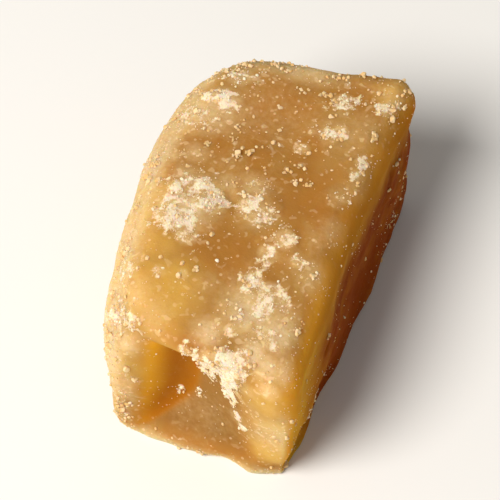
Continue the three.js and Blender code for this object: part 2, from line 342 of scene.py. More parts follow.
def cloud(points, size, layers=3):
    """Layered noise between about -1 and 1, each layer half the size and strength of the last."""
    total = sum(noise_at(points, size / 2**n) / 2**n for n in range(layers))
    return total / (2 - 2 ** (1 - layers))


class Casting:
    """The cast block as functions on a cube from -1 to 1, in millimetres."""

    def __init__(self, form):
        self.form = form
        self.half = np.array((form.width, form.length, form.height)) / MM / 2
        self.shift = np.zeros(3)

    def edge_radius(self, cube):
        """The radius of the edge nearest to each place."""
        form = self.form
        left, right = smooth(0, 1, -cube[:, 0]), smooth(0, 1, cube[:, 0])
        upper, lower = smooth(0, 1, cube[:, 2]), smooth(0, 1, -cube[:, 2])
        mouth = smooth(0, 1, -cube[:, 1]) ** 2
        worn = form.worn_top_left * left * upper + form.worn_top_right * right * upper
        worn = worn + form.worn_top_mouth * mouth * upper + form.worn_base_left * left * lower
        worn = worn + form.worn_mouth_right * mouth * right
        return (form.edge_radius + worn) / MM

    def rounded_box(self, cube):
        """Places on the box with rounded edges, and the directions that they face."""
        radius = self.edge_radius(cube)[:, None]
        point = cube * self.half
        core = np.clip(point, radius - self.half, self.half - radius)
        out = point - core
        normal = out / np.linalg.norm(out, axis=1, keepdims=True)
        return core + normal * radius, normal

    def wall_terms(self, box):
        """What each wall of the mouth adds to the sum that bounds its depth."""
        for start, inward, slope, softness in MOUTH_WALLS:
            run = (box[:, 0] - start[0]) * inward[0] + (box[:, 2] - start[1]) * inward[1]
            soft = softness * np.logaddexp(0, run / softness)
            yield (slope * soft) ** -WALL_BLEND

    def mouth_depth(self, box):
        """How far the mouth is sunk."""
        total = (self.form.mouth_depth / MM) ** -WALL_BLEND + sum(self.wall_terms(box))
        return total ** (-1 / WALL_BLEND)

    def shaded_wall(self, box):
        """1 on the left and upper walls of the mouth, 0 on its other walls and its floor."""
        floor = (self.form.mouth_depth / MM) ** -WALL_BLEND
        left, upper, right, lower = self.wall_terms(box)
        return (left + upper) / (left + upper + right + lower + floor)

    def broad_waves(self, box):
        """The broad swell of the surface."""
        rise = 0
        for size, height, phase in WAVES:
            turn = 2 * math.pi / size
            crossed = np.sin(box[:, 0] * turn + phase) * np.cos(box[:, 1] * turn - phase)
            slanted = np.sin((box[:, 2] + box[:, 1] / 2) * turn + phase * 2)
            rise = rise + height * crossed + height / 2 * slanted
        return rise

    def marks(self, box):
        """How far dents sink and crusts lift the surface."""
        rise = 0
        for *place, radius, depth in DENTS:
            away = np.linalg.norm(box - place, axis=1) / radius
            rise = rise - depth * (1 - smooth(0, 1, away))
        ragged = RAGGED * noise_at(box, RAGGED_SIZE)
        for *place, radius, height in CRUSTS:
            away = np.linalg.norm(box - place, axis=1) / radius + ragged
            rise = rise + height * (1 - smooth(CRUST_CORE, 1, away))
        return rise

    def cast(self, box):
        """Turns the rounded box into the real casting."""
        form = self.form
        u, v, w = (box / self.half).T
        low, back = (1 - w) / 2, (1 + v) / 2
        leftward, rightward = np.maximum(0, (1 - u) / 2), np.maximum(0, (1 + u) / 2)
        mouthward = smooth(0, 1, -v)
        swell = np.sin(math.pi * np.clip(back, 0, 1) ** form.belly_peak)
        hollow = np.sin(math.pi * np.clip(back, 0, 1) ** form.waist_peak)
        below = 1 - low * (1 - form.belly_below)
        x = (form.inset_left * low + form.inset_back * back) * leftward
        drawn_in = form.waist * hollow * (1 - low * (1 - form.waist_below))
        x = x - (form.inset_right * low + form.inset_back * back + drawn_in) * rightward
        x = x - form.belly * swell * leftward**2 * below
        y = form.mouth_twist * u * w * mouthward
        y = y - (form.slant * leftward + form.back_lean * low) * smooth(0, 1, v)
        z = (form.top_tilt * u - form.mouth_drop * mouthward * mouthward) * (1 - low)
        return box + np.stack((x, y, z), axis=1) / MM

    def stain(self, box, spots, firm, ragged):
        """How strong the strongest of some spots is at each place, from 0 to 1."""
        strongest = np.zeros(len(box))
        for *place, radius, strength in spots:
            away = np.linalg.norm(box - place, axis=1) / radius + ragged
            strongest = np.maximum(strongest, strength * (1 - smooth(firm, 1, away)))
        return strongest

    def lace(self, seat, sunk):
        """How closely the bloom covers: whole in the middle, in rings and threads around it."""
        hung = seat.copy()
        hung[:, 2] = seat[:, 2] + HANG * smooth(0.0, 0.8, sunk) * (RIM_LEVEL - seat[:, 2])
        ragged = sum(share * noise_at(seat, size) for size, share in BLOOM_OUTLINE)
        white = self.stain(hung, WHITE, 0.0, ragged - 0.1)
        white = np.maximum(0, white - self.stain(hung, CLEAR, 0.3, 0.5 * ragged))
        rings = 1 - smooth(0.08, 0.3, np.abs(noise_at(seat + 31, 1.6)))
        whole = smooth(0.1, 1.0, white + 0.35 * noise_at(seat + 17, 0.8))
        return np.maximum(whole, 0.7 * rings * smooth(0.02, 0.3, white))

    def haze(self, box):
        """How thick the thin haze of powder is, from 0 to 1."""
        ragged = 0.16 * noise_at(box, 6.0) + 0.05 * noise_at(box, 2.5)
        stray = smooth(0.0, 0.8, cloud(box + 50, 7.0)) * 0.6
        halo = 0.7 * smooth(0.0, 0.5, self.stain(box, WHITE, 0.1, 0.5 * ragged))
        down_left = smooth(8.0, 12.0, -box[:, 0]) * (0.65 + 0.35 * smooth(-10, 6, box[:, 2]))
        down_left = down_left * (0.85 + 0.5 * ragged)
        lower_rim = smooth(9.5, 13.0, -box[:, 2]) * smooth(21.0, 24.5, -box[:, 1])
        back_edge = smooth(17.5, 22.5, box[:, 1]) * smooth(7.0, 11.0, box[:, 2])
        back_edge = back_edge * (0.8 - 0.5 * smooth(-3.0, 8.0, box[:, 0]) + ragged)
        bands = (down_left, lower_rim * (0.95 + ragged), back_edge)
        return np.maximum.reduce((self.stain(box, HAZY, 0.0, ragged), stray, halo, *bands))

    def fine_relief(self, box, sunk):
        """The crumbly relief that is finer than the solid's facets."""
        quiet = 1 - 0.75 * smooth(0.4, 2.5, sunk)
        grainy = 0.035 * noise_at(box, 1.1) + 0.03 * noise_at(box, 0.55)
        crust = self.lace(box, sunk) * (0.05 + 0.05 * noise_at(box + 9, 0.65))
        return quiet * grainy + crust

    def seat(self, cube):
        """Places on the plain box with its mouth sunk, the directions they face and the sinking."""
        box, normal = self.rounded_box(cube)
        sunk = self.mouth_depth(box) * smooth(*MOUTH_FACING, -normal[:, 1])
        return box + sunk[:, None] * INWARDS, normal, sunk

    def skin(self, cube, fine=False):
        """The finished surface and the directions that it faces."""
        seat, normal, sunk = self.seat(cube)
        box = seat - sunk[:, None] * INWARDS
        rise = self.broad_waves(box) + self.marks(box)
        for size, height in ROUGHNESS:
            rise = rise + height * noise_at(box, size)
        if fine:
            rise = rise + self.fine_relief(seat, sunk)
        point = self.cast(box + normal * rise[:, None])
        point[:, 1] += sunk
        point[:, 2] += self.half[2] - self.form.flat_level / MM
        return point + self.shift, normal


# -------- small shapes and scattering


def seeded_random(seed):
    """Numbers from 0 to 1 that are the same on every run."""
    mask = 0xFFFFFFFF
    state = seed

    def draw():
        nonlocal state
        state = (state + 0x6D2B79F5) & mask
        mixed = ((state ^ (state >> 15)) * (1 | state)) & mask
        mixed = ((mixed + (((mixed ^ (mixed >> 7)) * (61 | mixed)) & mask)) & mask) ^ mixed
        return ((mixed ^ (mixed >> 14)) & mask) / 4294967296

    return draw


def shape_arrays(build):
    """The vertices and triangles of a small shape that a bmesh builder makes."""
    bm = bmesh.new()
    build(bm)
    bmesh.ops.triangulate(bm, faces=bm.faces)
    bm.verts.index_update()
    places = np.array([v.co for v in bm.verts])
    faces = np.array([[v.index for v in f.verts] for f in bm.faces])
    bm.free()
    return places, faces


def ball(bm):
    """A plain ball of unit radius."""
    bmesh.ops.create_icosphere(bm, subdivisions=1, radius=1.0)


def lump_shape(rng, uneven):
    """A rounded lump of unit radius with an uneven outline."""

    def build(bm):
        ball(bm)
        for vert in bm.verts:
            vert.co *= 1 + uneven * rng.uniform(-1, 1)

    return shape_arrays(build)


def crystal_shape(rng, corner):
    """A sugar crystal: a slanted box with its corners knocked off."""

    def build(bm):
        bmesh.ops.create_cube(bm, size=1.5)
        knocked = {"affect": "VERTICES", "segments": 1, "profile": 0.5, "material": -1}
        bmesh.ops.bevel(bm, geom=bm.verts[:], offset=corner, **knocked)
        slant = rng.uniform(-0.3, 0.3)
        for vert in bm.verts:
            vert.co.x += slant * vert.co.z

    return shape_arrays(build)


def turned(rng, count):
    """Random rotation matrices."""
    quaternions = rng.normal(size=(count, 4))
    w, x, y, z = (quaternions / np.linalg.norm(quaternions, axis=1, keepdims=True)).T
    rows = (
        (1 - 2 * (y * y + z * z), 2 * (x * y - z * w), 2 * (x * z + y * w)),
        (2 * (x * y + z * w), 1 - 2 * (x * x + z * z), 2 * (y * z - x * w)),
        (2 * (x * z - y * w), 2 * (y * z + x * w), 1 - 2 * (x * x + y * y)),
    )
    return np.moveaxis(np.array(rows), 2, 0)


def strewn(shapes, point, normal, radii, lift, rng):
    """The vertices and triangles of shapes picked and turned at random, one on each point."""
    centres = point + normal * (radii * lift)[:, None]
    vertex_sets, face_sets, first = [], [], 0
    picks = rng.integers(0, len(shapes), len(centres))
    for pick, (places, faces) in enumerate(shapes):
        mine = np.flatnonzero(picks == pick)
        scale = radii[mine, None] * rng.uniform(*GRAIN_STRETCH, (len(mine), 3))
        local = places[None] * scale[:, None]
        world = np.einsum("nij,nvj->nvi", turned(rng, len(mine)), local) + centres[mine, None]
        starts = first + len(places) * np.arange(len(mine))
        vertex_sets.append(world.reshape(-1, 3))
        face_sets.append((faces[None] + starts[:, None, None]).reshape(-1, 3))
        first += len(places) * len(mine)
    return np.concatenate(vertex_sets), np.concatenate(face_sets)


def mesh_piece(name, vertices, faces, material, smooth_shaded=False):
    """One piece from joined arrays in millimetres, kept above the floor."""
    vertices[:, 2] = np.maximum(vertices[:, 2], 0)
    mesh = bpy.data.meshes.new(name)
    mesh.vertices.add(len(vertices))
    mesh.vertices.foreach_set("co", (vertices * MM).astype(np.float32).ravel())
    mesh.loops.add(faces.size)
    mesh.loops.foreach_set("vertex_index", faces.astype(np.int32).ravel())
    mesh.polygons.add(len(faces))
    mesh.polygons.foreach_set("loop_start", np.arange(0, faces.size, 3, dtype=np.int32))
    mesh.update(calc_edges=True)
    mesh.validate()
    if smooth_shaded:
        mesh.shade_smooth()
    else:
        mesh.shade_flat()
    return finished_piece(name, mesh, material)


def placed(name, data):
    """A new object in the scene."""
    thing = bpy.data.objects.new(name, data)
    bpy.context.scene.collection.objects.link(thing)
    return thing


def finished_piece(name, mesh, material):
    """Links a mesh as a piece that rides on the block."""
    piece = placed(name, mesh)
    mesh.materials.append(material)
    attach(piece, BODY)
    return piece


def random_cube_places(rng, count, half):
    """Places on the cube, spread evenly over the real areas of its sides, none underneath."""
    sides = np.array([half[(a + 1) % 3] * half[(a + 2) % 3] for a in AXES for _ in (-1, 1)])
    sides[UNDERSIDE] = 0
    picks = rng.choice(6, size=count, p=sides / sides.sum())
    places = rng.uniform(-1, 1, (count, 3))
    places[np.arange(count), picks // 2] = np.where(picks % 2, 1.0, -1.0)
    return places


def edge_nearness(cube):
    """1 on the edges of the block and 0 well inside its sides."""
    second = np.sort(np.abs(cube), axis=1)[:, 1]
    return smooth(0.62, 0.97, second)


def gathered(casting, rng, cube, most, spread):
    """Places of clusters: up to so many on the same side around each of some places."""
    centre = np.repeat(cube, rng.integers(1, most + 1, len(cube)), axis=0)
    offset = rng.normal(size=centre.shape) * spread / casting.half
    return np.clip(centre + np.where(np.abs(centre) < 1, offset, 0), -1, 1)


def settle(casting, rng, tries, chance, most=1, spread=0.0):
    """Random points of the skin, alone or in clusters, kept with the chance that is given."""
    cube = random_cube_places(rng, tries, casting.half)
    seat, _, sunk = casting.seat(cube)
    keep = rng.uniform(size=tries) < chance(cube, seat, sunk)
    cube = gathered(casting, rng, cube[keep], most, spread)
    point, normal = casting.skin(cube, True)
    above = point[:, 2] > LOWEST_GRAIN
    return point[above], normal[above]


# -------- materials


class Value:
    """A number that a shader works out. Arithmetic on it adds Math nodes."""

    def __init__(self, maker, socket):
        self.maker = maker
        self.socket = socket

    def _math(self, operation, *inputs, clamp=False):
        settings = {"operation": operation, "use_clamp": clamp}
        node = self.maker.node("ShaderNodeMath", settings, *inputs)
        return Value(self.maker, node.outputs[0])

    def __add__(self, other):
        return self._math("ADD", self, other)

    __radd__ = __add__

    def __sub__(self, other):
        return self._math("SUBTRACT", self, other)

    def __rsub__(self, other):
        return self._math("SUBTRACT", other, self)

    def __mul__(self, other):
        return self._math("MULTIPLY", self, other)

    __rmul__ = __mul__

    def clamped(self):
        """The value kept between 0 and 1."""
        return self._math("ADD", self, 0.0, clamp=True)

    def magnitude(self):
        """The value without its sign."""
        return self._math("ABSOLUTE", self)

    def step(self, low, high):
        """A soft step from 0 at low to 1 at high."""
        settings = {"interpolation_type": "SMOOTHSTEP"}
        node = self.maker.node("ShaderNodeMapRange", settings, self, low, high, 0.0, 1.0)
        return Value(self.maker, node.outputs[0])


class Maker:
    """Adds nodes to one material."""

    def __init__(self, name):
        self.material = bpy.data.materials.new(name)
        self.material.use_nodes = True
        self.tree = self.material.node_tree
        self.tree.nodes.clear()
        self.place = self.node("ShaderNodeTexCoord", {}).outputs["Object"]

    def plug(self, value, socket):
        """Links a value, or sets a number or colour, on a socket."""
        source = value.socket if isinstance(value, Value) else value
        if isinstance(source, bpy.types.NodeSocket):
            self.tree.links.new(source, socket)
        elif isinstance(source, Color):
            socket.default_value = (*source, 1.0)
        else:
            socket.default_value = source

    def node(self, kind, settings, *inputs, **named):
        """Adds a node: its settings first, then its inputs in order or by name."""
        node = self.tree.nodes.new(kind)
        for key, value in settings.items():
            setattr(node, key, value)
        for value, socket in zip(inputs, node.inputs):
            self.plug(value, socket)
        for key, value in named.items():
            self.plug(value, node.inputs[key.replace("_", " ")])
        return node

    def noise(self, size_mm, detail, rough, warp=0.0):
        """Noise that changes over a size in millimetres, from 0 to 1."""
        named = {
            "Vector": self.place,
            "Scale": 1 / (size_mm * MM),
            "Detail": detail,
            "Roughness": rough,
            "Distortion": warp,
        }
        return Value(self, self.node("ShaderNodeTexNoise", {}, **named).outputs["Fac"])

    def cells(self, size_mm, output):
        """Many scattered cells: the "Distance" from their middles or a random "Color" each."""
        named = {"Vector": self.place, "Scale": 1 / (size_mm * MM)}
        return Value(self, self.node("ShaderNodeTexVoronoi", {}, **named).outputs[output])

    def attribute(self, name):
        """A number that the mesh holds at each vertex."""
        settings = {"attribute_name": name, "attribute_type": "GEOMETRY"}
        return Value(self, self.node("ShaderNodeAttribute", settings).outputs["Fac"])

    def mix(self, share, first, second):
        """A colour between two, by a share from 0 to 1."""
        node = self.node("ShaderNodeMix", {"data_type": "RGBA"})
        self.plug(share, node.inputs["Factor"])
        self.plug(first, node.inputs[6])
        self.plug(second, node.inputs[7])
        return node.outputs[2]

    def bump(self, height, depth_mm):
        """A normal that is roughened by a height."""
        named = {"Height": height, "Distance": depth_mm * MM}
        return self.node("ShaderNodeBump", {}, **named).outputs["Normal"]

    def surface(self, settings, named):
        """The material with a principled surface."""
        shader = self.node("ShaderNodeBsdfPrincipled", settings, **named)
        self.node("ShaderNodeOutputMaterial", {}, Surface=shader.outputs[0])
        return self.material

    def sugar(self, colour, roughness, normal, glow):
        """The finish of sugar: waxy, and lit a little from inside."""
        glow_mm, weight = glow
        named = {
            "Base Color": colour,
            "Roughness": roughness,
            "Normal": normal,
            "Subsurface Weight": weight,
            "Subsurface Radius": GLOW_TINT,
            "Subsurface Scale": glow_mm * MM,
            "IOR": 1.5,
            "Specular IOR Level": 0.01,
        }
        return self.surface({"subsurface_method": "RANDOM_WALK"}, named)


def block_material(tints):
    """Waxy cast sugar: golden where light gets in, amber where no bloom lies, pale where bloomed,
    with painted glow and painted shade.
    """
    make = Maker("cast_sugar")
    white, haze, golden, brown, painted_wall_glow, painted_side_shade, painted_rim_shade, painted_flank_glow, dull = map(make.attribute, NOTES)
    plain = (1 - painted_wall_glow * 0.9) * (1 - painted_flank_glow)
    broad = make.noise(9, 3, 0.55, 0.6)
    patches = make.noise(3.2, 3, 0.6, 0.5)
    grit = make.noise(0.7, 2, 0.6)
    fine = make.noise(0.3, 2, 0.6)
    cloudy = 0.5 + 0.5 * broad + 0.5 * patches
    mist = (haze * 0.8 + (patches - 0.5) * 0.2 + (grit - 0.5) * 0.4).step(0.05, 0.85)
    frost = (haze + (grit - 0.5) * 0.6 + (fine - 0.5) * 0.4).step(0.6, 1.7) * 0.6
    curds = make.noise(0.85, 2, 0.6)
    threads = (make.noise(1.3, 1, 0.5) - 0.5).magnitude().step(0.035, 0.0)
    cover = white * 1.25 - 0.4 + (curds - 0.5) * 2.1
    cover = cover + (fine - 0.5) * 0.8 + white * threads * 0.25
    lace = cover.step(0.0, 0.75) * (1 - painted_side_shade * 0.4)
    crust = (cover + (grit - 0.5)).step(0.1, 0.9)
    rare = make.cells(1.1, "Color").step(0.6, 0.65)
    dots = make.cells(1.1, "Distance").step(0.24, 0.14) * rare * (0.3 + 0.5 * haze) * plain
    isles = make.noise(1.0, 1, 0.4, 0.2).step(0.62, 0.72) * (0.2 + 0.4 * haze) * plain
    isles = isles * (1 - 0.85 * dull)
    colour = make.mix(broad.step(0.36, 0.64), tints.tan, tints.amber)
    coats = (
        ((brown * (0.5 + patches)).clamped() * 0.8, tints.amber),
        # Golden: partly the sugar's own tone, partly painted glow.
        ((golden * (0.6 + 0.6 * patches)).clamped(), tints.golden),
        (dull * 0.9, tints.dull),
        # Painted glow on the mouth's shaded walls, painted shade deep in it, painted glow below the
        # upper right edge and painted shade on the right side.
        (painted_wall_glow, tints.glow),
        (painted_rim_shade, tints.painted_rim_shade),
        (painted_flank_glow, tints.painted_flank_glow),
        ((painted_side_shade * cloudy).clamped(), tints.deep),
        (mist * 0.75 * plain, tints.haze),
        (frost * plain, tints.bloom),
        (fine.step(0.42, 0.3) * 0.15, tints.amber),
        (lace * 0.85, tints.haze),
        (crust * 0.9, tints.bloom),
        (dots, tints.crystal),
        (isles, tints.crystal),
    )
    for share, coat in coats:
        colour = make.mix(share, colour, coat)
    rough = (0.5 + 0.12 * grit + mist * 0.12 + lace * 0.25 - painted_wall_glow * 0.08).clamped()
    height = grit * 0.4 + fine * 0.2 + dots * 0.5 + isles * 0.5 + lace * 0.6
    return make.sugar(colour, rough, make.bump(height, 0.12), BLOCK_GLOW)


def grain_material(name, pale, dull):
    """Loose sugar: each grain its own shade between two colours."""
    make = Maker(name)
    shade = make.noise(1.1, 1, 0.5).step(0.38, 0.62)
    fine = make.noise(0.22, 2, 0.6)
    colour = make.mix(shade, pale, dull)
    return make.sugar(colour, 0.55 + 0.2 * fine, make.bump(fine, 0.05), GRAIN_GLOW)


# -------- settings


def length(name, text, millimetres):
    """A length that a user can change."""
    return bpy.props.FloatProperty(
        name=name, description=text, default=millimetres * MM, unit="LENGTH", precision=5
    )


def tint(name, text, colour):
    """A colour that a user can change."""
    return bpy.props.FloatVectorProperty(
        name=name, description=text, default=colour, subtype="COLOR", min=0, max=1
    )


def number(name, text, value):
    """A plain number that a user can change."""
    return bpy.props.FloatProperty(name=name, description=text, default=value)


def count(name, text, value):
    """A whole number that a user can change."""
    return bpy.props.IntProperty(name=name, description=text, default=value, min=0)


class JaggeryForm(bpy.types.PropertyGroup):
    """Sizes of the cast block"""

    length: length("Length", "From the sunk mouth to the closed end", 51.3)
    width: length("Width", "Across the block at the mouth", 28.1)
    height: length("Height", "From the underside to the upper side", 28)
    inset_right: length("Right inset", "How much narrower the underside is at its right", 1.5)
    inset_left: length("Left inset", "How much narrower the underside is at its left", 2.1)
    inset_back: length("Back inset", "How much narrower the closed end is on each side", 0.3)
    belly: length("Belly", "How far the left side swells outwards", 4.3)
    belly_peak: number("Belly peak", "Over 1 moves the fullest place nearer the closed end", 1.4)
    belly_below: number("Belly below", "Share of the swelling left at the underside", 0.55)
    waist: length("Waist", "How far the right side is drawn in", 1.75)
    waist_peak: number("Waist peak", "Over 1 moves the narrowest place nearer the closed end", 0.95)
    waist_below: number("Waist below", "Share of the waist left at the underside", -0.5)
    slant: length("Slant", "How much shorter the left side is than the right", 5.4)
    top_tilt: length("Tilt", "How much higher the upper side is at its right", -0.5)
    mouth_twist: length("Twist", "How far the mouth is twisted", -0.3)
    back_lean: length("Back lean", "How far the closed end's lower edge is drawn in", 3.0)
    mouth_drop: length("Drop", "How far the upper side falls towards the mouth", 0.8)
    mouth_depth: length("Mouth depth", "How deep the mouth is sunk at most", 7.6)
    edge_radius: length("Edge radius", "Radius of the plain edges", 2.9)
    worn_top_left: length("Worn top left", "Extra radius of the upper left edge", 3.6)
    worn_top_right: length("Worn top right", "Extra radius of the upper right edge", 1.8)
    worn_top_mouth: length("Worn rim", "Extra radius of the upper edge of the mouth", 0.8)
    worn_mouth_right: length("Worn right rim", "Extra radius of the mouth's right edge", -1.3)
    worn_base_left: length("Worn base", "Extra radius of the lower left edge", -1.0)
    flat_level: length("Flat level", "How much of the uneven underside is pressed flat", 0.7)
    facet: length("Facet", "Size of the facets of the skin", 0.3)


class JaggeryTints(bpy.types.PropertyGroup):
    """Colours of the sugar, with its painted glow and painted shade"""

    # Partly the sugar's own golden tone, partly painted glow from light through thin sugar.
    golden: tint("Golden", "Sugar where light gets into it", (0.66, 0.38, 0.08))
    tan: tint("Tan", "Sugar of the middle tone", (0.43, 0.225, 0.058))
    amber: tint("Amber", "Denser sugar in soft patches", (0.41, 0.178, 0.034))
    dull: tint("Dull", "Sugar on the floor of the mouth", (0.27, 0.127, 0.03))
    # Painted glow: the shaded left and upper walls of the mouth, coloured as if lit through the
    # sugar.
    glow: tint("Glow", "Clear sugar with light behind it", (0.62, 0.28, 0.015))
    # Painted shade: darker deep in the mouth under its upper rim.
    painted_rim_shade: tint("Ember", "The deepest clear sugar", (0.38, 0.12, 0.006))
    # Painted glow: light coming through the upper right edge onto the shaded right side.
    painted_flank_glow: tint("Flank", "Sugar just below the upper right edge", (0.70, 0.31, 0.02))
    # Painted shade: the right side, which faces away from the light, coloured deep amber.
    deep: tint("Deep amber", "Dense sugar on the shaded side", (0.2, 0.032, 0.001))
    haze: tint("Haze", "Thin bloom", (0.74, 0.51, 0.24))
    bloom: tint("Bloom", "Thick crusted bloom", (0.93, 0.81, 0.60))
    crystal: tint("Crystal", "Paler loose grains", (0.86, 0.63, 0.36))
    grain: tint("Grain", "Darker loose grains", (0.74, 0.47, 0.20))


class JaggeryGrains(bpy.types.PropertyGroup):
    """Numbers and sizes of the loose sugar"""

    lumps: count("Lumps", "Grains that are fused to the solid", 80)
    lump_least: length("Smallest lump", "Radius", 0.32)
    lump_most: length("Largest lump", "Radius", 0.7)
    strays: count("Stray tries", "How many places are tried for single grains", 5000)
    crumbs: count("Crumb tries", "How many places are tried for crumbs of grains", 7500)
    clumps: count("Clump tries", "How many places are tried for grains in the crusts", 90000)
    powder: count("Powder tries", "How many places are tried for fine powder", 200000)


class JaggeryStage(bpy.types.PropertyGroup):
    """Camera and light"""

    azimuth: number("Azimuth", "Degrees that the camera goes round the block", 21)
    elevation: number("Elevation", "Degrees that the camera looks down", 59)
    distance: length("Distance", "From the camera to the block", 420)
    view: length("View", "Width of the picture at the block", 66)
    aim: length("Aim", "Height of the point that the camera looks at", 13.2)
    key: number("Key light", "Power of the main light in watts", 6.85)
    key_turn: number("Key turn", "Degrees from the camera's left towards the camera", 38)
    key_rise: number("Key rise", "Degrees that the main light stands above the floor", 52)
    key_away: length("Key distance", "From the main light to the block", 750)
    key_size: length("Key size", "Width of the main light", 400)
    fill: number("Fill light", "Strength of the light from all round", 0.25)
    floor: tint("Floor", "Colour of the floor", (0.86, 0.85, 0.83))


# -------- operators


def current_casting(scene):
    """The casting of the present settings, moved to the middle of the solid's box."""
    casting = Casting(scene.jaggery_form)
    low, high = (np.array(corner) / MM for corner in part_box(NODE))
    lumps = lump_arrays(casting, scene.jaggery_grains)[0]
    skin = casting.skin(grid_cube(SKIN_LINES))[0]
    every = np.concatenate((skin, lumps))
    casting.shift = (low + high - every.min(0) - every.max(0)) / 2 * np.array((1, 1, 0))
    return casting


def grid_cube(steps):
    """Places all over the cube, about as far apart as the solid's facets."""
    line = np.sin(np.linspace(-1, 1, steps) * CROWDING * math.pi / 2)
    line = line / line[-1]
    flat = np.stack([side.ravel() for side in np.meshgrid(line, line)], axis=1)
    sides = [np.insert(flat, axis, sign, axis=1) for axis in AXES for sign in (-1, 1)]
    return np.concatenate(sides)


def place_anywhere(draw, half):
    """A place on any side but the underside, as the solid's own grains are placed."""
    x, y, z = half
    areas = (x * y, x * z, x * z, y * z, y * z)
    pick = draw() * sum(areas)
    side = 0
    while pick >= areas[side]:
        pick -= areas[side]
        side += 1
    a = draw() * 2 - 1
    b = draw() * 2 - 1
    return np.array(((a, b, 1), (a, -1, b), (a, 1, b), (-1, a, b), (1, a, b))[side])


def place_on_crust(draw, half):
    """A place on or beside one of the crusts, as the solid's own grains are placed."""
    *place, radius, _ = CRUSTS[int(draw() * len(CRUSTS))]
    place = np.array(place, float)
    spread = np.array([(draw() + draw() - 1) * radius for _ in AXES])
    found = (place + spread) / half
    furthest = np.argmax(np.abs(place) / half)
    found[furthest] = np.sign(place[furthest])
    return np.clip(found, -1, 1)


def lump_arrays(casting, grains):
    """The lumps of the solid: small crystals, turned, squashed and sunk a little in the skin."""
    places, faces = shape_arrays(ball)
    draw = seeded_random(LUMP_SEED)
    vertex_sets, face_sets = [], []
    for _ in range(grains.lumps):
        pick = place_on_crust if draw() < LUMPS_ON_CRUSTS else place_anywhere
        cube = pick(draw, casting.half)[None]
        point, normal = casting.skin(cube)
        least, most = grains.lump_least / MM, grains.lump_most / MM
        radius = least + (most - least) * draw() ** 2
        turn = Euler([draw() * math.pi for _ in AXES], "ZYX").to_matrix()
        stretch = [low + (high - low) * draw() for low, high in LUMP_STRETCH]
        centre = point[0] - LUMP_SINK * radius * normal[0]
        face_sets.append(faces + len(places) * len(face_sets))
        vertex_sets.append((places * radius * np.array(stretch)) @ np.array(turn).T + centre)
    return np.concatenate(vertex_sets), np.concatenate(face_sets)


class JAGGERY_OT_block(bpy.types.Operator):
    """Casts the block with its sunk mouth, crusts and fine relief"""

    bl_idname = "jaggery.block"
    bl_label = "Block"

    def execute(self, context):
        scene = context.scene
        facet = scene.jaggery_form.facet / MM
        casting = current_casting(scene)
        bm = bmesh.new()
        bmesh.ops.create_cube(bm, size=2.0)
        for axis in AXES:
            along = [e for e in bm.edges if abs(e.verts[0].co[axis] - e.verts[1].co[axis]) > 1]
            cuts = round(2 * casting.half[axis] / facet) - 1
            bmesh.ops.subdivide_edges(bm, edges=along, cuts=cuts, use_grid_fill=True)
        bmesh.ops.recalc_face_normals(bm, faces=bm.faces)
        mesh = bpy.data.meshes.new("cast_block")
        bm.to_mesh(mesh)
        bm.free()
        places = np.empty(len(mesh.vertices) * 3, np.float32)
        mesh.vertices.foreach_get("co", places)
        bend = CROWDING * math.pi / 2
        cube = np.sin(places.reshape(-1, 3).astype(float) * bend) / math.sin(bend)
        point, normal = casting.skin(cube, fine=True)
        seat, _, sunk = casting.seat(cube)
        point[:, 2] = np.maximum(point[:, 2], 0)
        mesh.vertices.foreach_set("co", (point * MM).astype(np.float32).ravel())
        mesh.shade_smooth()
        notes = self.notes(casting, seat, normal, sunk)
        for name in NOTES:
            attribute = mesh.attributes.new(name, "FLOAT", "POINT")
            attribute.data.foreach_set("value", notes[name].astype(np.float32))
        piece = finished_piece("cast_block", mesh, block_material(scene.jaggery_tints))
        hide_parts(NODE)
        return {"FINISHED"}

    def notes(self, casting, seat, normal, sunk):
        """How strongly each look of the sugar, painted glow and painted shade among them, shows at
        each vertex.
        """
        mouth = smooth(0.3, 1.4, sunk)
        wall = casting.shaded_wall(seat)
        shaded = smooth(0.04, 0.35, wall)
        soft = 0.25 * cloud(seat, 6)
        right = smooth(0.25, 0.9, normal[:, 0] + 0.1 * cloud(seat, 7))
        turning = 1 - smooth(0.7, 1.0, normal[:, 0])
        backwards = smooth(-20, 10, seat[:, 1])
        # Painted shade on the right side, stronger lower down and towards the closed end.
        down = 0.35 + 0.65 * smooth(14, 3, seat[:, 2] + 4 * soft)
        painted_side_shade = smooth(0.8 - 0.45 * backwards, 1.0, normal[:, 0]) * down
        # Painted shade deep in the mouth under its upper rim, also darker lower down.
        deep = sunk + 1.2 * smooth(0, -9, seat[:, 2])
        return {
            "white": casting.lace(seat, sunk),
            "haze": casting.haze(seat) * (1 - mouth * shaded),
            # Painted glow where light comes through thin sugar, with its own golden tone.
            "golden": casting.stain(seat, GOLDEN, 0.2, soft),
            "brown": casting.stain(seat, BROWN, 0.2, soft),
            # Painted glow on the shaded left and upper walls of the mouth.
            "painted_wall_glow": mouth * shaded,
            "dull": smooth(0.6, 2.0, sunk) * (1 - shaded),
            "painted_rim_shade": smooth(0.9, 3.3, deep) * smooth(0.01, 0.2, wall),
            # Painted glow below the upper right edge, weaker towards the closed end, where painted
            # shade takes over.
            "painted_flank_glow": right * (1 - 0.4 * backwards * turning),
            "painted_side_shade": painted_side_shade * (0.15 + 0.85 * smooth(-26, -8, seat[:, 1] + 12 * soft)),
        }


class JAGGERY_OT_lumps(bpy.types.Operator):
    """Sets the large lumps of sugar that are fused to the solid"""

    bl_idname = "jaggery.lumps"
    bl_label = "Lumps"

    def execute(self, context):
        scene = context.scene
        tints = scene.jaggery_tints
        vertices, faces = lump_arrays(current_casting(scene), scene.jaggery_grains)
        material = grain_material("lump_sugar", tints.crystal, tints.grain)
        mesh_piece("sugar_lumps", vertices, faces, material)
        return {"FINISHED"}


